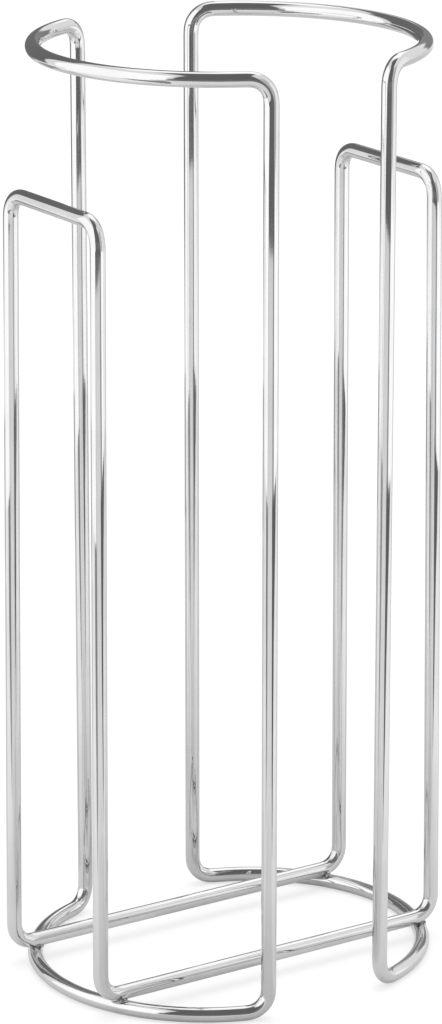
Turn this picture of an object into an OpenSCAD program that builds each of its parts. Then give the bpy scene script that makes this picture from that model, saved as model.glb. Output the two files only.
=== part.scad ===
// Free-standing toilet roll storage holder, bent from chromed steel wire.
// Two tall curved frames face each other, and one long wire is folded into a cradle between them.
// The cradle's crossbars cross the frames' foot arcs and are welded there, at four places.
// Millimetres, +Z up, X along the crossbars, the gaps between the tall frames face +Y and -Y.
// The origin is on the floor, midway between the tall frames.

/* [Wire] */
// Diameter of the round wire
wire_d = 5; // [4:0.25:6]
// Radius of every tight bend, measured to the middle of the wire
bend_r = 7; // [6:0.5:9]

/* [Tall frames] */
// Overall height of the holder
frame_h = 315.5; // [290:0.5:350]
// Gap between the uprights of the two frames, middle to middle
upright_gap = 44.6; // [40:0.2:50]
// Distance between the two uprights of one frame, middle to middle
upright_span = 114; // [110:0.5:120]
// From the holder's middle to the furthest point of a top arc
top_reach = 64; // [62:0.1:68]
// From the holder's middle to the furthest point of a foot arc
foot_reach = 67.6; // [66:0.1:70]

/* [Cradle] */
// Height of the two low loops
loop_h = 269; // [200:0.5:280]
// Width of a low loop along its top bar, middle to middle
loop_top_w = 52.8; // [48:0.2:60]
// Distance between the two crossbars, middle to middle
crossbar_gap = 55.2; // [48:0.2:60]
// From the cradle's middle to a low loop's top bar
loop_top_reach = 65; // [63:0.1:70]
// From the cradle's middle to the foot of a low loop's legs
loop_foot_reach = 66.9; // [66:0.1:71]
// How far the cradle is welded off the middle along X
cradle_off_x = -1.1; // [-1.5:0.1:1.5]
// How far the cradle is welded off the middle along Y
cradle_off_y = 1.3; // [-1.5:0.1:1.5]

/* [Welds] */
// How deep the crossed wires are pressed into each other
weld_sink = 0.5; // [0.2:0.1:0.8]
// Diameter of the bead squeezed out round a weld
weld_d = 4.6; // [3.5:0.1:5]
// Height of that bead
weld_t = 1.6; // [1:0.1:2]

/* [Hidden] */

$fn = 64;
chrome = "silver";
weld_grey = "dimgray";

wire_r = wire_d / 2;
// A bend is a hair thicker than the wire that runs into it, so that all of it is one solid
bend_swell = 0.1;
bend_lap = 0.05;
top_z = frame_h - wire_r;
foot_z = wire_r;
crossbar_z = foot_z + wire_d - weld_sink;
upright_x = upright_gap / 2;
upright_y = upright_span / 2;

// An arc's ends turn into the uprights through bends, which set its radius and its half angle
function arc_depth(reach) = reach - upright_x;
function arc_r(reach) =
    (pow(arc_depth(reach), 2) + pow(upright_y, 2) - pow(bend_r, 2)) / (2 * arc_depth(reach));
function arc_half_angle(reach) =
    atan2(upright_y, arc_r(reach) - arc_depth(reach)) - atan2(bend_r, arc_r(reach));

// Where a foot arc passes under a crossbar at distance y from the middle
function crossing_x(y) =
    foot_reach - arc_r(foot_reach) + sqrt(pow(arc_r(foot_reach), 2) - pow(y, 2));

// The eight corners of the cradle wire, along one loop, across to the other and up it
function corner(side_x, side_y, reach, width, z) =
    [cradle_off_x + side_x * reach, cradle_off_y + side_y * width / 2, z];
function loop_corner(side_x, side_y) =
    corner(side_x, side_y, loop_top_reach, loop_top_w, loop_h - wire_r);
function foot_corner(side_x, side_y) =
    corner(side_x, side_y, loop_foot_reach, crossbar_gap, crossbar_z);
cradle_corners = [
    loop_corner(-1, 1), loop_corner(-1, -1), foot_corner(-1, -1), foot_corner(1, -1),
    loop_corner(1, -1), loop_corner(1, 1), foot_corner(1, 1), foot_corner(-1, 1)
];

function unit(v) = v / norm(v);
function turn(a, b, c) = acos(unit(b - a) * unit(c - b));
function setback(a, b, c) = bend_r * tan(turn(a, b, c) / 2);

// Put children into a frame given by its origin and its X and Y directions
module place(origin, x_dir, y_dir) {
    z_dir = cross(x_dir, y_dir);
    multmatrix([
        [x_dir.x, y_dir.x, z_dir.x, origin.x],
        [x_dir.y, y_dir.y, z_dir.y, origin.y],
        [x_dir.z, y_dir.z, z_dir.z, origin.z],
        [0, 0, 0, 1]
    ])
        children();
}

// Wire of diameter d bent round the Z axis
module bent_wire(radius, start_angle, angle, d = wire_d) {
    rotate_extrude(start = start_angle, angle = angle)
        translate([radius, 0])
            circle(d = d);
}

// A tight bend, which starts on the X axis and turns towards +Y
module tight_bend(angle) {
    bent_wire(bend_r, 0, angle, wire_d + bend_swell);
}

// Straight wire between two points, run on a little into the bends at its ends
module straight_wire(from, to) {
    along = unit(to - from);
    side = unit(cross(along, abs(along.z) < 0.5 ? [0, 0, 1] : [1, 0, 0]));
    place(from - bend_lap * along, side, cross(along, side))
        cylinder(h = norm(to - from) + 2 * bend_lap, d = wire_d);
}

// The bend at b, between a run that comes from a and one that goes on to c
module corner_bend(a, b, c) {
    arriving = unit(b - a);
    leaving = unit(c - b);
    inward = unit(leaving - (arriving * leaving) * arriving);
    place(b - setback(a, b, c) * arriving + bend_r * inward, -inward, arriving)
        tight_bend(turn(a, b, c));
}

// A closed wire through the given corners, each rounded by a bend
module closed_wire(corners) {
    count = len(corners);
    for (i = [0 : count - 1]) {
        before = corners[(i + count - 1) % count];
        here = corners[i];
        next = corners[(i + 1) % count];
        after = corners[(i + 2) % count];
        along = unit(next - here);
        corner_bend(before, here, next);
        straight_wire(here + setback(before, here, next) * along,
                      next - setback(here, next, after) * along);
    }
}

// An arc of a tall frame with a bend at each end, which turns up (1) or down (-1)
module frame_arc(reach, z, turn_dir) {
    radius = arc_r(reach);
    half = arc_half_angle(reach);
    lap = bend_lap / radius * 180 / PI;
    translate([reach - radius, 0, z]) {
        bent_wire(radius, -half - lap, 2 * (half + lap));
        for (side = [-1, 1])
            mirror([0, side < 0 ? 1 : 0, 0])
                place([radius * cos(half), radius * sin(half), turn_dir * bend_r],
                      [0, 0, -turn_dir], [-sin(half), cos(half), 0])
                    tight_bend(90);
    }
}

// The tall frame on the +X side: top arc, foot arc and two uprights in one closed wire
module frame_wire() {
    color(chrome) {
        frame_arc(top_reach, top_z, -1);
        frame_arc(foot_reach, foot_z, 1);
        for (side = [-1, 1])
            straight_wire([upright_x, side * upright_y, foot_z + bend_r],
                          [upright_x, side * upright_y, top_z - bend_r]);
    }
}

module left_frame_wire() {
    rotate(180)
        frame_wire();
}

module right_frame_wire() {
    frame_wire();
}

module cradle_wire() {
    color(chrome)
        closed_wire(cradle_corners);
}

// Bead of metal squeezed out where a crossbar lies on a foot arc
module weld_bead(side_x, side_y) {
    y = cradle_off_y + side_y * crossbar_gap / 2;
    rim_r = weld_t / 2;
    color(weld_grey)
        translate([side_x * crossing_x(y), y, foot_z + wire_r - weld_sink / 2]) {
            cylinder(h = weld_t, d = weld_d - weld_t, center = true);
            rotate_extrude()
                translate([weld_d / 2 - rim_r, 0])
                    circle(r = rim_r);
        }
}

module weld_left_front() {
    weld_bead(-1, -1);
}

module weld_left_rear() {
    weld_bead(-1, 1);
}

module weld_right_front() {
    weld_bead(1, -1);
}

module weld_right_rear() {
    weld_bead(1, 1);
}

left_frame_wire();
right_frame_wire();
cradle_wire();
weld_left_front();
weld_left_rear();
weld_right_front();
weld_right_rear();
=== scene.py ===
"""The looks of a free-standing toilet roll storage holder, bent from chromed wire.

Everything is in metres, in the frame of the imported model: +Z up, X along the crossbars, and the
origin on the floor, midway between the two tall frames. Geometry Nodes sweep the wires along
their own paths. Each piece is named after the CAD node that it stands for.
"""
import logging
import math
from dataclasses import dataclass
from enum import Enum

import bmesh
import bpy
from mathutils import Matrix, Vector, noise


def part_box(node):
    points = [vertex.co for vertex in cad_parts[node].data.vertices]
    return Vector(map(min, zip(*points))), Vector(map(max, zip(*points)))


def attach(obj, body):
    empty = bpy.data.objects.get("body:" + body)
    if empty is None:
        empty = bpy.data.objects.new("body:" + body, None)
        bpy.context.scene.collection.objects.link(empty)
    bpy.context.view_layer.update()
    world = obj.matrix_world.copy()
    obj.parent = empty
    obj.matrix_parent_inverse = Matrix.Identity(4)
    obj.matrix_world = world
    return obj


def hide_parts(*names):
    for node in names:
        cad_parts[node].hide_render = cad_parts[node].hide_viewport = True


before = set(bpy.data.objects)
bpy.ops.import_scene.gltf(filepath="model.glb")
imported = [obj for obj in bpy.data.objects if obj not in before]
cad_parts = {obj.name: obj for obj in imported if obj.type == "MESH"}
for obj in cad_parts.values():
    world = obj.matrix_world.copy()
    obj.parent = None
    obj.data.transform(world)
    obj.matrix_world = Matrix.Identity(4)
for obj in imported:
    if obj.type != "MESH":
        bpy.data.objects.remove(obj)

LOG = logging.getLogger("roll_holder")
MM = 0.001
BODY = "root"


# Node trees

class Value:
    """A number socket, on which Python's operators add Math nodes."""

    def __init__(self, tree: "NodeTree", socket: bpy.types.NodeSocket) -> None:
        """Wraps one output socket of a tree."""
        self.tree = tree
        self.socket = socket

    def math(self, operation: str, *values: "Value | float") -> "Value":
        """Adds a Math node.

        Args:
            operation: the Math node's operation.
            values: its inputs, in order.

        Returns:
            The node's result.
        """
        inputs = {index: value for index, value in enumerate(values)}
        node = self.tree.node("ShaderNodeMath", {"operation": operation}, inputs)
        return Value(self.tree, node.outputs[0])

    def __add__(self, other: "Value | float") -> "Value":
        """self + other"""
        return self.math("ADD", self, other)

    def __radd__(self, other: "Value | float") -> "Value":
        """other + self"""
        return self.math("ADD", other, self)

    def __sub__(self, other: "Value | float") -> "Value":
        """self - other"""
        return self.math("SUBTRACT", self, other)

    def __rsub__(self, other: "Value | float") -> "Value":
        """other - self"""
        return self.math("SUBTRACT", other, self)

    def __mul__(self, other: "Value | float") -> "Value":
        """self * other"""
        return self.math("MULTIPLY", self, other)

    def __rmul__(self, other: "Value | float") -> "Value":
        """other * self"""
        return self.math("MULTIPLY", other, self)

    def __truediv__(self, other: "Value | float") -> "Value":
        """self / other"""
        return self.math("DIVIDE", self, other)

    def __rtruediv__(self, other: "Value | float") -> "Value":
        """other / self"""
        return self.math("DIVIDE", other, self)

    def at_least(self, other: "Value | float") -> "Value":
        """The larger of the two."""
        return self.math("MAXIMUM", self, other)

    def ramp(self, start: float, end: float, low: float = 0.0, high: float = 1.0) -> "Value":
        """Smooth step from low, where the value is start, to high, where it is end."""
        return self.tree.value(
            "ShaderNodeMapRange", {"interpolation_type": "SMOOTHSTEP"},
            {"Value": self, "From Min": start, "From Max": end, "To Min": low, "To Max": high},
            output="Result")


class NodeTree:
    """Adds nodes to a shader tree or a Geometry Nodes tree."""

    def __init__(self, tree: bpy.types.NodeTree) -> None:
        """Takes over a tree and empties it."""
        self.tree = tree
        tree.nodes.clear()

    def node(self, kind: str, settings: dict | None = None,
             inputs: dict | None = None) -> bpy.types.Node:
        """Adds one node.

        Args:
            kind: the node's type, such as ShaderNodeMath.
            settings: its properties, which are set first.
            inputs: values or links of its sockets, by name or number.

        Returns:
            The new node.
        """
        node = self.tree.nodes.new(kind)
        for name, value in (settings or {}).items():
            setattr(node, name, value)
        for name, value in (inputs or {}).items():
            self.feed(node.inputs[name], value)
        return node

    def feed(self, socket: bpy.types.NodeSocket, value: object) -> None:
        """Links an input socket, or sets its value.

        Args:
            socket: the input socket.
            value: a Value, a node, which gives its first output, an output socket, or what the
                socket is set to.
        """
        if isinstance(value, Value):
            value = value.socket
        if isinstance(value, bpy.types.Node):
            value = value.outputs[0]
        if isinstance(value, bpy.types.NodeSocket):
            self.tree.links.new(value, socket)
        else:
            socket.default_value = value

    def value(self, kind: str, settings: dict | None = None, inputs: dict | None = None,
              output: str | int = 0) -> Value:
        """Adds a node and wraps one of its outputs."""
        return Value(self, self.node(kind, settings, inputs).outputs[output])

    def vector(self, operation: str, *values: object) -> bpy.types.NodeSocket:
        """Adds a Vector Math node and returns its vector."""
        inputs = {index: value for index, value in enumerate(values)}
        return self.node("ShaderNodeVectorMath", {"operation": operation}, inputs).outputs[0]

    def blend(self, factor: Value | float, first: object, second: object) -> bpy.types.NodeSocket:
        """Adds a colour Mix node.

        Args:
            factor: how far to go from the first colour to the second, from 0 to 1.
            first: the colour at 0.
            second: the colour at 1.

        Returns:
            The mixed colour.
        """
        node = self.node("ShaderNodeMix", {"data_type": "RGBA"})
        for name, value in (("Factor_Float", factor), ("A_Color", first), ("B_Color", second)):
            self.feed(next(s for s in node.inputs if s.identifier == name), value)
        return next(s for s in node.outputs if s.identifier == "Result_Color")

    def place(self) -> bpy.types.NodeSocket:
        """The shaded point in Object coordinates."""
        return self.node("ShaderNodeTexCoord").outputs["Object"]


def grey(level: float) -> tuple[float, float, float, float]:
    """A grey of the given level, as a colour socket takes it."""
    return (level, level, level, 1.0)


def new_material(name: str) -> tuple[bpy.types.Material, NodeTree]:
    """Makes a material.

    Args:
        name: its name.

    Returns:
        The material and its tree, which is still empty.
    """
    material = bpy.data.materials.new(name)
    material.use_nodes = True
    return material, NodeTree(material.node_tree)


# Finishes

@dataclass(frozen=True)
class ChromeFinish:
    """Bright chrome plate on smooth drawn wire, which keeps faint draw lines along its length.

    A faint haze goes over the plate in patches. Where its noise crosses level_band, the level
    goes from the bottom of its spread to the top, and roughness_band does so for the roughness.
    """

    name: str = "chrome_wire"
    level: float = 0.68
    level_spread: float = 0.015
    level_band: tuple[float, float] = (0.35, 0.65)
    roughness: float = 0.035
    roughness_spread: float = 0.03
    roughness_band: tuple[float, float] = (0.4, 0.75)
    haze_size: float = 15 * MM
    line_count: float = 5.0
    line_length: float = 60 * MM
    line_depth: float = 0.006 * MM
    detail: float = 3.0

    def material(self) -> bpy.types.Material:
        """Builds the finish from Object coordinates and the wire's "along" and "ring".

        Returns:
            The material.
        """
        material, tree = new_material(self.name)
        along = tree.value("ShaderNodeAttribute", {"attribute_name": "along"}, output="Fac")
        ring = tree.node("ShaderNodeAttribute", {"attribute_name": "ring"}).outputs["Vector"]
        lines = tree.value(
            "ShaderNodeTexNoise", {"noise_dimensions": "4D"},
            {"Vector": tree.vector("MULTIPLY", ring, (self.line_count,) * 3),
             "W": along / self.line_length, "Scale": 1.0, "Detail": self.detail})
        haze = tree.value("ShaderNodeTexNoise", {}, {
            "Vector": tree.place(), "Detail": self.detail, "Scale": 1 / self.haze_size})
        bump = tree.node("ShaderNodeBump", {}, {
            "Strength": 1.0, "Distance": self.line_depth, "Height": lines})
        level = tree.blend(haze.ramp(*self.level_band), grey(self.level - self.level_spread),
                           grey(self.level + self.level_spread))
        roughness = haze.ramp(*self.roughness_band, self.roughness,
                              self.roughness + self.roughness_spread)
        shader = tree.node("ShaderNodeBsdfPrincipled", {}, {
            "Base Color": level, "Metallic": 1.0, "Roughness": roughness, "Normal": bump})
        tree.node("ShaderNodeOutputMaterial", {}, {"Surface": shader})
        return material


@dataclass(frozen=True)
class WeldFinish:
    """An as-welded bead under thin plating: pitted, and darker and duller in its hollows.

    The pits come from noise with pit_scale cells to the metre. Where the noise crosses
    level_band, the level goes from that of a hollow to that of plain metal, and roughness_band
    does so for the roughness.
    """

    name: str = "weld_bead"
    level: float = 0.46
    hollow_level: float = 0.15
    level_band: tuple[float, float] = (0.4, 0.6)
    roughness: float = 0.18
    hollow_roughness: float = 0.5
    roughness_band: tuple[float, float] = (0.35, 0.7)
    pit_scale: float = 1400.0
    pit_depth: float = 0.12 * MM
    detail: float = 4.0

    def material(self) -> bpy.types.Material:
        """Builds the finish on the bead's Object coordinates.

        Returns:
            The material.
        """
        material, tree = new_material(self.name)
        pits = tree.value("ShaderNodeTexNoise", {}, {
            "Vector": tree.place(), "Scale": self.pit_scale, "Detail": self.detail})
        bump = tree.node("ShaderNodeBump", {}, {
            "Strength": 1.0, "Distance": self.pit_depth, "Height": pits})
        level = tree.blend(pits.ramp(*self.level_band), grey(self.hollow_level), grey(self.level))
        roughness = pits.ramp(*self.roughness_band, self.hollow_roughness, self.roughness)
        shader = tree.node("ShaderNodeBsdfPrincipled", {}, {
            "Base Color": level, "Metallic": 1.0, "Roughness": roughness, "Normal": bump})
        tree.node("ShaderNodeOutputMaterial", {}, {"Surface": shader})
        return material


# Wire

@dataclass(frozen=True)
class WireStock:
    """The round wire that the holder is bent from."""

    diameter: float = 5 * MM
    bend_radius: float = 7 * MM
    sides: int = 40
    step: float = 1 * MM
    easing_passes: int = 3

    @property
    def radius(self) -> float:
        """Half the diameter."""
        return self.diameter / 2

    def rounded_path(self, corners: list[Vector]) -> list[Vector]:
        """Rounds every corner of a closed path with the stock's bend radius.

        Args:
            corners: the corners in order.

        Returns:
            Points along the rounded path, also along its straight runs.
        """
        path: list[Vector] = []
        for before, here, after in zip(corners[-1:] + corners[:-1], corners,
                                       corners[1:] + corners[:1]):
            arriving, leaving = (here - before).normalized(), (after - here).normalized()
            angle = arriving.angle(leaving)
            setback = self.bend_radius * math.tan(angle / 2)
            inward = (leaving - arriving * arriving.dot(leaving)).normalized()
            centre = here - arriving * setback + inward * self.bend_radius
            bend = self.bend(centre, -inward, arriving, angle)
            if path:
                path += self.straight(path[-1], bend[0])
            path += bend
        return path + self.straight(path[-1], path[0])

    def bend(self, centre: Vector, outward: Vector, heading: Vector,
             angle: float) -> list[Vector]:
        """Follows one tight bend.

        Args:
            centre: the bend's centre.
            outward: the direction from the centre to the bend's start.
            heading: the direction in which the wire sets off there.
            angle: how far the wire turns, in radians.

        Returns:
            Points along the bend, with both of its ends.
        """
        count = round(angle * self.bend_radius / self.step)
        turns = [angle * index / count for index in range(count + 1)]
        return [centre + self.bend_radius * (math.cos(turn) * outward + math.sin(turn) * heading)
                for turn in turns]

    def straight(self, start: Vector, end: Vector) -> list[Vector]:
        """Points between two ends, which are left out."""
        count = max(1, round((end - start).length / self.step))
        return [start.lerp(end, index / count) for index in range(1, count)]

    def eased(self, path: list[Vector]) -> list[Vector]:
        """Lets a closed path's bends start and end gradually, as bent wire does.

        Args:
            path: points along the middle of the wire.

        Returns:
            The same points, each moved a little towards its neighbours.
        """
        for _ in range(self.easing_passes):
            path = [before / 4 + here / 2 + after / 4 for before, here, after in zip(
                path[-1:] + path[:-1], path, path[1:] + path[:1])]
        return path


class WireSweep:
    """The Geometry Nodes tree that sweeps round wire along a closed path."""

    INPUTS = (("Wire radius", "NodeSocketFloat"), ("Sides", "NodeSocketInt"),
              ("Finish", "NodeSocketMaterial"))

    def __init__(self) -> None:
        """Builds the tree once; every wire uses it."""
        group = bpy.data.node_groups.new("wire_sweep", "GeometryNodeTree")
        group.interface.new_socket("Geometry", in_out="INPUT", socket_type="NodeSocketGeometry")
        for name, kind in self.INPUTS:
            group.interface.new_socket(name, in_out="INPUT", socket_type=kind)
        group.interface.new_socket("Geometry", in_out="OUTPUT", socket_type="NodeSocketGeometry")
        self.group = group
        tree = NodeTree(group)
        given = tree.node("NodeGroupInput").outputs
        path = tree.node("GeometryNodeMeshToCurve", {}, {"Mesh": given["Geometry"]})
        length = tree.node("GeometryNodeSplineParameter").outputs["Length"]
        path = self.store(tree, path, "along", "FLOAT", length)
        path = tree.node("GeometryNodeSetCurveRadius", {}, {
            "Curve": path, "Radius": given["Wire radius"]})
        circle = tree.node("GeometryNodeCurvePrimitiveCircle", {"mode": "RADIUS"}, {
            "Resolution": given["Sides"], "Radius": 1.0})
        circle = self.store(tree, circle, "ring", "FLOAT_VECTOR",
                            tree.node("GeometryNodeInputPosition").outputs[0])
        skin = tree.node("GeometryNodeCurveToMesh", {}, {"Curve": path, "Profile Curve": circle})
        for scale in (s for s in skin.inputs if s.name == "Scale"):
            tree.feed(scale, given["Wire radius"])
        skin = tree.node("GeometryNodeSetShadeSmooth", {}, {"Geometry": skin})
        skin = tree.node("GeometryNodeRealizeInstances", {}, {"Geometry": skin})
        skin = tree.node("GeometryNodeSetMaterial", {}, {
            "Geometry": skin, "Material": given["Finish"]})
        tree.node("NodeGroupOutput", {}, {"Geometry": skin})

    @staticmethod
    def store(tree: NodeTree, geometry: object, name: str, data_type: str,
              value: object) -> bpy.types.Node:
        """Adds a Store Named Attribute node on points."""
        return tree.node("GeometryNodeStoreNamedAttribute",
                         {"data_type": data_type, "domain": "POINT"},
                         {"Geometry": geometry, "Name": name, "Value": value})

    def sweep(self, name: str, path: list[Vector], stock: WireStock,
              finish: bpy.types.Material) -> bpy.types.Object:
        """Sweeps one closed wire.

        Args:
            name: the piece's name.
            path: points along the middle of the wire; it closes by itself.
            stock: the wire.
            finish: its material.

        Returns:
            The wire as a plain mesh object.
        """
        mesh = bpy.data.meshes.new(name + "_path")
        count = len(path)
        mesh.from_pydata(stock.eased(path), [(i, (i + 1) % count) for i in range(count)], [])
        carrier = bpy.data.objects.new(name + "_path", mesh)
        bpy.context.collection.objects.link(carrier)
        modifier = carrier.modifiers.new("sweep", "NODES")
        modifier.node_group = self.group
        values = {"Wire radius": stock.radius, "Sides": stock.sides, "Finish": finish}
        for item in self.group.interface.items_tree:
            if item.in_out == "INPUT" and item.name in values:
                modifier[item.identifier] = values[item.name]
        return plain_piece(name, carrier)


def plain_piece(name: str, carrier: bpy.types.Object) -> bpy.types.Object:
    """Turns an object with modifiers into a plain mesh object.

    Args:
        name: the plain object's name.
        carrier: the object with the modifiers, which is removed.

    Returns:
        The plain object.
    """
    evaluated = carrier.evaluated_get(bpy.context.evaluated_depsgraph_get())
    mesh = bpy.data.meshes.new_from_object(evaluated)
    mesh.name = name
    bpy.data.objects.remove(carrier)
    piece = bpy.data.objects.new(name, mesh)
    bpy.context.collection.objects.link(piece)
    outward_normals(mesh)
    return piece


def outward_normals(mesh: bpy.types.Mesh) -> None:
    """Makes every face of a closed mesh point outwards.

    Args:
        mesh: the mesh, which is changed in place.
    """
    work = bmesh.new()
    work.from_mesh(mesh)
    bmesh.ops.recalc_face_normals(work, faces=work.faces)
    work.to_mesh(mesh)
    work.free()


def hand_over(piece: bpy.types.Object, node: str) -> None:
    """Puts a piece on the body in the place of its CAD node, and reports it.

    Args:
        piece: the finished piece.
        node: the CAD node that it stands for.
    """
    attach(piece, BODY)
    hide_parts(node)
    low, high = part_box(node)
    corners = [piece.matrix_world @ vertex.co for vertex in piece.data.vertices]
    off = max(max(abs(min(c[axis] for c in corners) - low[axis]),
                  abs(max(c[axis] for c in corners) - high[axis])) for axis in range(3))
    LOG.info("%s: %d faces, %.2f mm off the box of its node", piece.name,
             len(piece.data.polygons), off / MM)


# Sub-assemblies

class Side(Enum):
    """Which end of the holder, as its direction along X."""

    LEFT = -1
    RIGHT = 1


@dataclass(frozen=True)
class TallFrame:
    """One closed wire with a top arc, a foot arc and two uprights."""

    node: str
    side: Side
    stock: WireStock
    height: float
    upright_x: float = 22.3 * MM
    upright_y: float = 57 * MM
    top_reach: float = 64 * MM
    foot_reach: float = 67.6 * MM

    def arc(self, reach: float, z: float, turn: int) -> list[Vector]:
        """Points along one arc and its two bends, from -Y to +Y.

        Args:
            reach: from the holder's middle to the arc's furthest point.
            z: height of the arc.
            turn: 1 where the bends turn up into the uprights, -1 where they turn down.

        Returns:
            The points, from the end of one upright to the end of the other.
        """
        bend_r = self.stock.bend_radius
        depth = reach - self.upright_x
        radius = (depth ** 2 + self.upright_y ** 2 - bend_r ** 2) / (2 * depth)
        half = math.atan2(self.upright_y, radius - depth) - math.atan2(bend_r, radius)
        middle = reach - radius
        steps = round(2 * half * radius / self.stock.step)
        sweep = [half * (2 * index / steps - 1) for index in range(1, steps)]
        points = [Vector((middle + radius * math.cos(a), radius * math.sin(a), z)) for a in sweep]
        end = Vector((middle + radius * math.cos(half), radius * math.sin(half), z))
        heading = Vector((-math.sin(half), math.cos(half), 0))
        up = Vector((0, 0, turn))
        bend = self.stock.bend(end + up * bend_r, -up, heading, math.pi / 2)
        mirrored = [Vector((p.x, -p.y, p.z)) for p in reversed(bend)]
        return mirrored + points + bend

    def path(self) -> list[Vector]:
        """Follows the closed wire; the left frame is the right one, turned half a turn.

        Returns:
            Points along the middle of the wire.
        """
        top = self.arc(self.top_reach, self.height - self.stock.radius, -1)
        foot = self.arc(self.foot_reach, self.stock.radius, 1)[::-1]
        path = (top + self.stock.straight(top[-1], foot[0]) + foot
                + self.stock.straight(foot[-1], top[0]))
        turned = self.side.value
        return [Vector((p.x * turned, p.y * turned, p.z)) for p in path]

    def build(self, sweep: WireSweep, finish: bpy.types.Material) -> None:
        """Makes the frame's wire and hands it over.

        Args:
            sweep: the tree that sweeps the wire.
            finish: the wire's material.
        """
        piece = sweep.sweep(self.node + "_chromed", self.path(), self.stock, finish)
        hand_over(piece, self.node)


@dataclass(frozen=True)
class Cradle:
    """One closed wire with a low loop in each tall frame and two crossbars between the loops."""

    node: str
    stock: WireStock
    loop_z: float
    crossbar_z: float
    middle: Vector
    top_reach: float = 65 * MM
    foot_reach: float = 66.9 * MM
    top_width: float = 52.8 * MM
    foot_width: float = 55.2 * MM

    def corner(self, side_x: int, side_y: int, at_top: bool) -> Vector:
        """Finds one corner of the wire, before it is rounded.

        Args:
            side_x: 1 for the right loop, -1 for the left one.
            side_y: 1 for the rear, -1 for the front.
            at_top: whether it is at the loop's top; if not, it is at the end of a crossbar.

        Returns:
            The corner.
        """
        reach = self.top_reach if at_top else self.foot_reach
        width = self.top_width if at_top else self.foot_width
        z = self.loop_z if at_top else self.crossbar_z
        return self.middle + Vector((side_x * reach, side_y * width / 2, z))

    def build(self, sweep: WireSweep, finish: bpy.types.Material) -> None:
        """Makes the cradle's wire and hands it over.

        Args:
            sweep: the tree that sweeps the wire.
            finish: the wire's material.
        """
        corners = [self.corner(*place) for place in (
            (-1, 1, True), (-1, -1, True), (-1, -1, False), (1, -1, False),
            (1, -1, True), (1, 1, True), (1, 1, False), (-1, 1, False))]
        piece = sweep.sweep(self.node + "_chromed", self.stock.rounded_path(corners), self.stock,
                            finish)
        hand_over(piece, self.node)


@dataclass(frozen=True)
class WeldBead:
    """The lump of metal squeezed out where a crossbar lies on a foot arc.

    Its surface follows fractal noise, which starts somewhere else for each seed.
    """

    node: str
    seed: int
    lumpiness: float = 0.26 * MM
    lump_size: float = 1.1 * MM
    pressed_out: float = 0.6 * MM
    swell: float = 1.08
    subdivisions: int = 5
    drift_step: tuple[float, float, float] = (7.3, 3.1, 1.7)
    fractal_increment: float = 1.0
    lacunarity: float = 2.0
    octaves: int = 3

    def lump(self, place: Vector) -> float:
        """How far the surface stands out at a place, as a share of the lumpiness."""
        drift = Vector([self.seed * step for step in self.drift_step])
        return noise.fractal(place / self.lump_size + drift, self.fractal_increment,
                             self.lacunarity, self.octaves)

    def build(self, finish: bpy.types.Material) -> None:
        """Makes the bead, pressed out a little towards the holder's middle, and hands it over.

        Args:
            finish: the bead's material.
        """
        low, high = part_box(self.node)
        middle, half = (low + high) / 2, (high - low) / 2 * self.swell
        middle.x -= math.copysign(self.pressed_out, middle.x)
        work = bmesh.new()
        bmesh.ops.create_icosphere(work, subdivisions=self.subdivisions, radius=1.0)
        for vertex in work.verts:
            place = Vector([vertex.co[axis] * half[axis] for axis in range(3)])
            vertex.co = middle + place + vertex.co * (self.lumpiness * self.lump(place))
        mesh = bpy.data.meshes.new(self.node + "_bead")
        work.to_mesh(mesh)
        work.free()
        mesh.shade_smooth()
        mesh.materials.append(finish)
        piece = bpy.data.objects.new(self.node + "_bead", mesh)
        bpy.context.collection.objects.link(piece)
        hand_over(piece, self.node)


# Studio

@dataclass(frozen=True)
class PhotoCamera:
    """The camera at the photograph's viewpoint."""

    location: tuple[float, float, float] = (-0.77539, -1.16714, 0.57614)
    forward: tuple[float, float, float] = (0.52842, 0.79884, -0.28746)
    lens: float = 155.16
    sensor: float = 36.0
    clip_end: float = 50.0

    def build(self) -> None:
        """Makes the camera and sets it as the scene's."""
        data = bpy.data.cameras.new("photo_camera")
        data.lens = self.lens
        data.sensor_width = self.sensor
        data.sensor_fit = "AUTO"
        data.clip_end = self.clip_end
        camera = bpy.data.objects.new("photo_camera", data)
        bpy.context.collection.objects.link(camera)
        turn = Vector(self.forward).to_track_quat("-Z", "Y")
        camera.matrix_world = Matrix.Translation(self.location) @ turn.to_matrix().to_4x4()
        bpy.context.scene.camera = camera


def spot(turn: float, distance: float, height: float = 0.0) -> Vector:
    """A place in the studio.

    Args:
        turn: degrees round from the camera, positive to the photograph's right.
        distance: from the holder's middle.
        height: above the floor.

    Returns:
        The place in the frame's axes.
    """
    location = PhotoCamera().location
    angle = math.atan2(location[1], location[0]) + math.radians(turn)
    return Vector((distance * math.cos(angle), distance * math.sin(angle), height))


def shows_background(tree: NodeTree) -> Value:
    """1 for rays that show the background: from the camera, in metal and through glass."""
    path = tree.node("ShaderNodeLightPath").outputs
    return Value(tree, path["Is Camera Ray"]).at_least(
        Value(tree, path["Is Glossy Ray"])).at_least(Value(tree, path["Is Transmission Ray"]))


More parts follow.
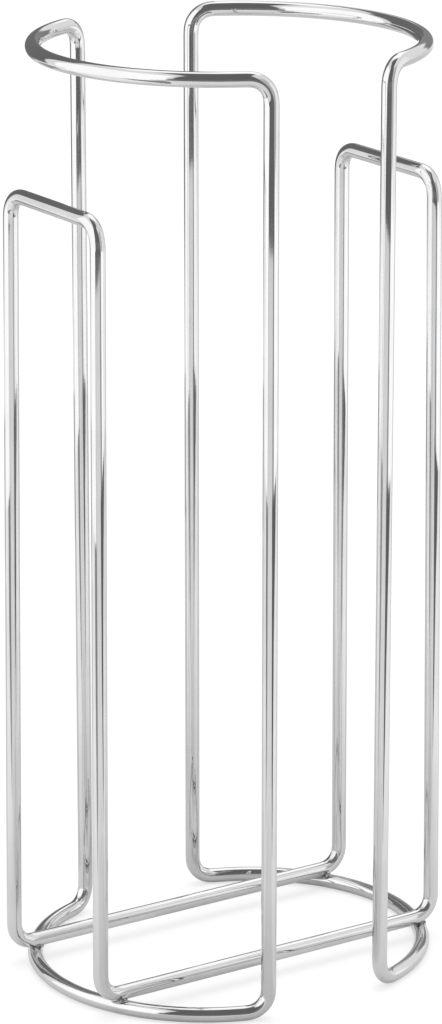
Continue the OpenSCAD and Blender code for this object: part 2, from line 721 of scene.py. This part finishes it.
@dataclass(frozen=True)
class Card:
    """A glowing card that shows in the chrome only: a painted reflection, as of the boards round
    a studio table.
    """

    name: str
    level: float

    def place(self, corners: list[tuple[float, float, float]], matrix: Matrix) -> None:
        """Makes the card's object and hides it from the camera, from diffuse light and from
        shadows.

        Args:
            corners: the corners of its one face, in its own axes.
            matrix: where those axes are.
        """
        mesh = bpy.data.meshes.new(self.name)
        mesh.from_pydata(corners, [], [tuple(range(len(corners)))])
        mesh.materials.append(self.glow())
        card = bpy.data.objects.new(self.name, mesh)
        bpy.context.collection.objects.link(card)
        card.matrix_world = matrix
        card.visible_camera = False
        card.visible_diffuse = False
        card.visible_shadow = False

    def cover(self, tree: NodeTree) -> Value | float:
        """How much of the card there is at a point: all of it, unless its kind fades out."""
        return 1.0

    # the glow is a painted reflection: only the chrome and glass see it, and it lights nothing
    def glow(self) -> bpy.types.Material:
        """Builds an even glow of the card's level, which is clear where the card fades out.

        Returns:
            The material.
        """
        material, tree = new_material(self.name)
        shine = tree.node("ShaderNodeEmission", {}, {"Color": grey(self.level), "Strength": 1.0})
        clear = tree.node("ShaderNodeBsdfTransparent")
        shader = tree.node("ShaderNodeMixShader", {}, {0: self.cover(tree), 1: clear, 2: shine})
        tree.node("ShaderNodeOutputMaterial", {}, {"Surface": shader})
        return material


@dataclass(frozen=True)
class Board(Card):
    """A rectangular card with soft edges, which stands on the floor or hangs overhead.

    It stands at a turn and a distance from the holder, or hangs at that distance above it. From
    there it reaches across, the way a growing turn goes, and upward, which on a hanging board
    runs away from its turn. The four fades are the widths of its soft left, right, lower and
    upper edge.
    """

    turn: float
    distance: float
    across: tuple[float, float]
    upward: tuple[float, float]
    fade: tuple[float, float, float, float]
    overhead: bool = False

    def build(self) -> None:
        """Makes the board in its own axes, with X across and Y upward."""
        middle = spot(self.turn, 0 if self.overhead else self.distance,
                      self.distance if self.overhead else 0.0)
        out = spot(self.turn, 1.0)
        side = Vector((-out.y, out.x, 0))
        up = -out if self.overhead else Vector((0, 0, 1))
        normal = side.cross(up)
        matrix = Matrix.Translation(middle) @ Matrix((side, up, normal)).transposed().to_4x4()
        (left, right), (low, high) = self.across, self.upward
        self.place([(left, low, 0), (right, low, 0), (right, high, 0), (left, high, 0)], matrix)

    def cover(self, tree: NodeTree) -> Value:
        """Lets the board fade to nothing at its edges.

        Args:
            tree: the tree of the board's material.

        Returns:
            How much of the board there is at a point.
        """
        axes = tree.node("ShaderNodeSeparateXYZ", {}, {"Vector": tree.place()}).outputs
        across, upward = Value(tree, axes["X"]), Value(tree, axes["Y"])
        (left, right), (low, high) = self.across, self.upward
        left_fade, right_fade, low_fade, high_fade = self.fade
        return (across.ramp(left, left + left_fade) * across.ramp(right, right - right_fade)
                * upward.ramp(low, low + low_fade) * upward.ramp(high, high - high_fade))


@dataclass(frozen=True)
class FloorCard(Card):
    """A card that lies on the floor, with corners given as degrees round and distance."""

    outline: tuple[tuple[float, float], ...]
    steps: int = 12
    height: float = 0.5 * MM

    def build(self) -> None:
        """Makes the card; its edges bend round the holder where they turn."""
        corners = []
        for start, end in zip(self.outline, self.outline[1:] + self.outline[:1]):
            for index in range(self.steps):
                share = index / self.steps
                turn, distance = (a + (b - a) * share for a, b in zip(start, end))
                corners.append(tuple(spot(turn, distance, self.height)))
        self.place(corners, Matrix.Identity(4))


@dataclass(frozen=True)
class Floor:
    """A white floor that keeps a faint shadow and, in the chrome, has painted shade round the
    holder.

    The camera sees a share of the shadow, on white with a small margin. The chrome sees the
    mirrored floor with painted light and shade: painted shade near the foot, darker to the front
    and the rear, and lighter beside the holder. The two turns are cosines of the angle round from
    the camera, over which the floor goes from its front or rear level to the one beside.
    """

    size: float = 40.0
    colour: float = 0.8
    shadow_share: float = 0.4
    margin: float = 0.02
    mirrored_share: float = 0.75
    foot_reach: tuple[float, float] = (0.05, 0.32)
    foot_shade_level: float = 0.75
    front_turn: tuple[float, float] = (0.93, 0.78)
    rear_turn: tuple[float, float] = (-0.8, -0.4)
    front_level: float = 0.88
    beside_level: float = 1.05

    def shade(self, tree: NodeTree) -> Value:
        """Paints shade and light into the mirrored floor by its distance and direction from the
        holder's middle.

        Args:
            tree: the tree of the floor's material.

        Returns:
            The mirrored floor's level at a point.
        """
        place = tree.place()
        reach = tree.value("ShaderNodeVectorMath", {"operation": "LENGTH"}, {0: place}, "Value")
        facing = tree.value("ShaderNodeVectorMath", {"operation": "DOT_PRODUCT"},
                            {0: place, 1: spot(0, 1.0)}, "Value") / reach
        beside = facing.ramp(*self.front_turn) * facing.ramp(*self.rear_turn)
        # painted shade near the foot, times painted light and shade by the direction round the
        # holder
        return (reach.ramp(*self.foot_reach, self.foot_shade_level, 1.0)
                * (beside * (self.beside_level - self.front_level) + self.front_level))

    def material(self) -> bpy.types.Material:
        """Mixes a matt floor, which takes the shadow, with a glow, by the ray that sees it.

        Returns:
            The material.
        """
        material, tree = new_material("white_floor")
        seen = shows_background(tree)
        camera = tree.value("ShaderNodeLightPath", output="Is Camera Ray")
        # only the chrome sees this painted shade of the mirrored floor
        mirrored = (seen - camera) * self.shade(tree)
        share = (camera * self.shadow_share + mirrored * self.mirrored_share
                 + (1.0 - seen) * self.colour)
        colour = tree.node("ShaderNodeCombineColor", {}, {0: share, 1: share, 2: share})
        matt = tree.node("ShaderNodeBsdfDiffuse", {}, {"Color": colour})
        strength = (camera * (1 - self.shadow_share + self.margin)
                    + mirrored * (1 - self.mirrored_share))
        lift = tree.node("ShaderNodeEmission", {}, {"Color": grey(1.0), "Strength": strength})
        shader = tree.node("ShaderNodeAddShader", {}, {0: matt, 1: lift})
        tree.node("ShaderNodeOutputMaterial", {}, {"Surface": shader})
        return material

    def build(self) -> None:
        """Makes the floor."""
        half = self.size / 2
        mesh = bpy.data.meshes.new("floor")
        mesh.from_pydata([(-half, -half, 0), (half, -half, 0), (half, half, 0), (-half, half, 0)],
                         [], [(0, 1, 2, 3)])
        mesh.materials.append(self.material())
        floor = bpy.data.objects.new("floor", mesh)
        bpy.context.collection.objects.link(floor)


@dataclass(frozen=True)
class Studio:
    """White surroundings, a floor, a soft lamp and the glowing cards that paint highlights and
    shade into the chrome's reflections.

    The floor cards to the sides run from left_edge or right_edge to sweep_end, and the dark
    floor beyond the front runs from room to room_end, all measured from the holder's middle.
    """

    floor: Floor = Floor()
    light_level: float = 0.9
    lamp_power: float = 14.0
    lamp_size: float = 1.6
    lamp_place: tuple[float, float, float] = (0.25, 0.35, 2.2)
    left_edge: float = 0.63
    right_edge: float = 0.66
    sweep_end: float = 1.6
    room: float = 1.15
    room_end: float = 3.0
    # painted reflections that only the chrome sees: the softboxes paint highlights, the darker
    # boards paint dark bands
    boards: tuple[Board, ...] = (
        Board("left_softbox", 1.42, turn=-72, distance=1.05, across=(-0.82, 0.98),
              upward=(0.0, 2.0), fade=(0.04, 0.04, 0.02, 0.5)),
        Board("right_softbox", 1.2, turn=90, distance=1.15, across=(-0.55, 0.6),
              upward=(0.0, 1.1), fade=(0.12, 0.2, 0.02, 0.3)),
        Board("right_front_board", 0.6, turn=55, distance=1.3, across=(-0.5, 0.45),
              upward=(0.0, 1.6), fade=(0.2, 0.1, 0.02, 0.5)),
        Board("room_wall", 0.22, turn=5, distance=1.26, across=(-0.85, 0.9),
              upward=(0.05, 0.5), fade=(0.05, 0.2, 0.06, 0.05)),
        Board("dark_room", 0.16, turn=5, distance=1.25, across=(-0.78, 0.85),
              upward=(0.4, 2.35), fade=(0.08, 0.25, 0.08, 0.02)),
        Board("dark_ceiling", 0.16, turn=0, distance=2.3, across=(-0.7, 0.9),
              upward=(-1.35, 0.42), fade=(0.2, 0.2, 0.02, 0.15), overhead=True),
        Board("left_rear_flag", 0.18, turn=-148, distance=0.78, across=(-0.5, 0.46),
              upward=(0.0, 1.18), fade=(0.05, 0.06, 0.1, 0.15)),
        Board("rear_flag", 0.27, turn=170, distance=1.4, across=(-0.8, 0.8),
              upward=(0.15, 0.8), fade=(0.2, 0.15, 0.1, 0.12)),
        Board("rear_softbox", 1.45, turn=0, distance=1.6, across=(-0.6, 0.9),
              upward=(0.3, 2.6), fade=(0.2, 0.2, 0.15, 0.2), overhead=True),
    )

    def floor_cards(self) -> list[FloorCard]:
        """Lays out the cards on the floor.

        Returns:
            The cards, painted reflections that only the chrome sees: bright ones to the sides,
            grey ones behind, dark ones beyond the front.
        """
        left, right, end = self.left_edge, self.right_edge, self.sweep_end
        room, room_end = self.room, self.room_end
        # each card glows at its level and lights nothing: painted light and shade in the chrome's
        # reflection of the floor
        return [
            FloorCard("right_sweep", 1.4, ((46, right), (118, right), (118, end), (46, end))),
            FloorCard("left_sweep", 1.4, ((-36, left), (-36, end), (-102, end), (-102, left))),
            FloorCard("rear_floor", 0.75, ((118, 0.1), (210, 0.1), (258, 0.1), (258, 0.5),
                                           (210, 0.5), (210, end), (118, end))),
            FloorCard("left_rear_floor", 0.4, ((210, 0.5), (244, 0.5), (244, 0.75),
                                               (210, 0.75))),
            FloorCard("room_floor", 0.17, ((-36, room), (-36, room_end), (46, room_end),
                                           (46, room))),
            FloorCard("right_gap", 0.35, ((27, right), (27, room), (43, room), (46, right))),
            FloorCard("left_gap", 0.75, ((-30, left), (-40, left), (-40, room), (-30, room))),
            FloorCard("right_wedge", 0.16, ((36, 0.19), (45, 0.3), (56, 0.45), (74, 0.56),
                                            (85, right), (24, right), (26, 0.45), (29, 0.3))),
            FloorCard("left_wedge", 0.32, ((-38, 0.2), (-31, 0.3), (-29, 0.45), (-29, left),
                                           (-60, left), (-57, 0.45), (-46, 0.3))),
        ]

    def build(self) -> None:
        """Makes the world, floor, lamp and cards."""
        scene = bpy.context.scene
        scene.view_settings.view_transform = "Standard"
        self.build_world(scene)
        self.floor.build()
        self.build_lamp()
        for card in (*self.boards, *self.floor_cards()):
            card.build()

    def build_world(self, scene: bpy.types.Scene) -> None:
        """Makes white surroundings, which light the scene at a plain level.

        Args:
            scene: the scene that they are for.
        """
        world = bpy.data.worlds.new("studio")
        world.use_nodes = True
        scene.world = world
        tree = NodeTree(world.node_tree)
        strength = shows_background(tree) * (1 - self.light_level) + self.light_level
        shader = tree.node("ShaderNodeBackground", {}, {"Color": grey(1.0), "Strength": strength})
        tree.node("ShaderNodeOutputWorld", {}, {"Surface": shader})

    def build_lamp(self) -> None:
        """A soft lamp overhead, which doesn't show in the chrome."""
        data = bpy.data.lights.new("overhead_lamp", "AREA")
        data.shape = "DISK"
        data.size = self.lamp_size
        data.energy = self.lamp_power
        lamp = bpy.data.objects.new("overhead_lamp", data)
        bpy.context.collection.objects.link(lamp)
        lamp.matrix_world = Matrix.Translation(self.lamp_place)
        lamp.visible_camera = False
        lamp.visible_glossy = False


# The holder

@dataclass(frozen=True)
class RollHolder:
    """The whole holder: two tall frames, a cradle and four weld beads."""

    stock: WireStock
    chrome: ChromeFinish
    weld: WeldFinish

    def build(self) -> None:
        """Builds the sub-assemblies in order."""
        sweep = WireSweep()
        chrome = self.chrome.material()
        weld = self.weld.material()
        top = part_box("left_frame_wire")[1].z
        for side in Side:
            TallFrame(side.name.lower() + "_frame_wire", side, self.stock, top).build(
                sweep, chrome)
        low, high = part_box("cradle_wire")
        middle = Vector(((low.x + high.x) / 2, (low.y + high.y) / 2, 0))
        radius = self.stock.radius
        Cradle("cradle_wire", self.stock, high.z - radius, low.z + radius, middle).build(
            sweep, chrome)
        beads = [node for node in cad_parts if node.startswith("weld_")]
        for seed, node in enumerate(sorted(beads), start=1):
            WeldBead(node, seed).build(weld)


def main() -> None:
    """Builds the camera, the holder and the studio."""
    logging.basicConfig(level=logging.INFO, format="%(name)s: %(message)s")
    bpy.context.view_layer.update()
    PhotoCamera().build()
    RollHolder(WireStock(), ChromeFinish(), WeldFinish()).build()
    Studio().build()


if __name__ == "__main__":
    main()
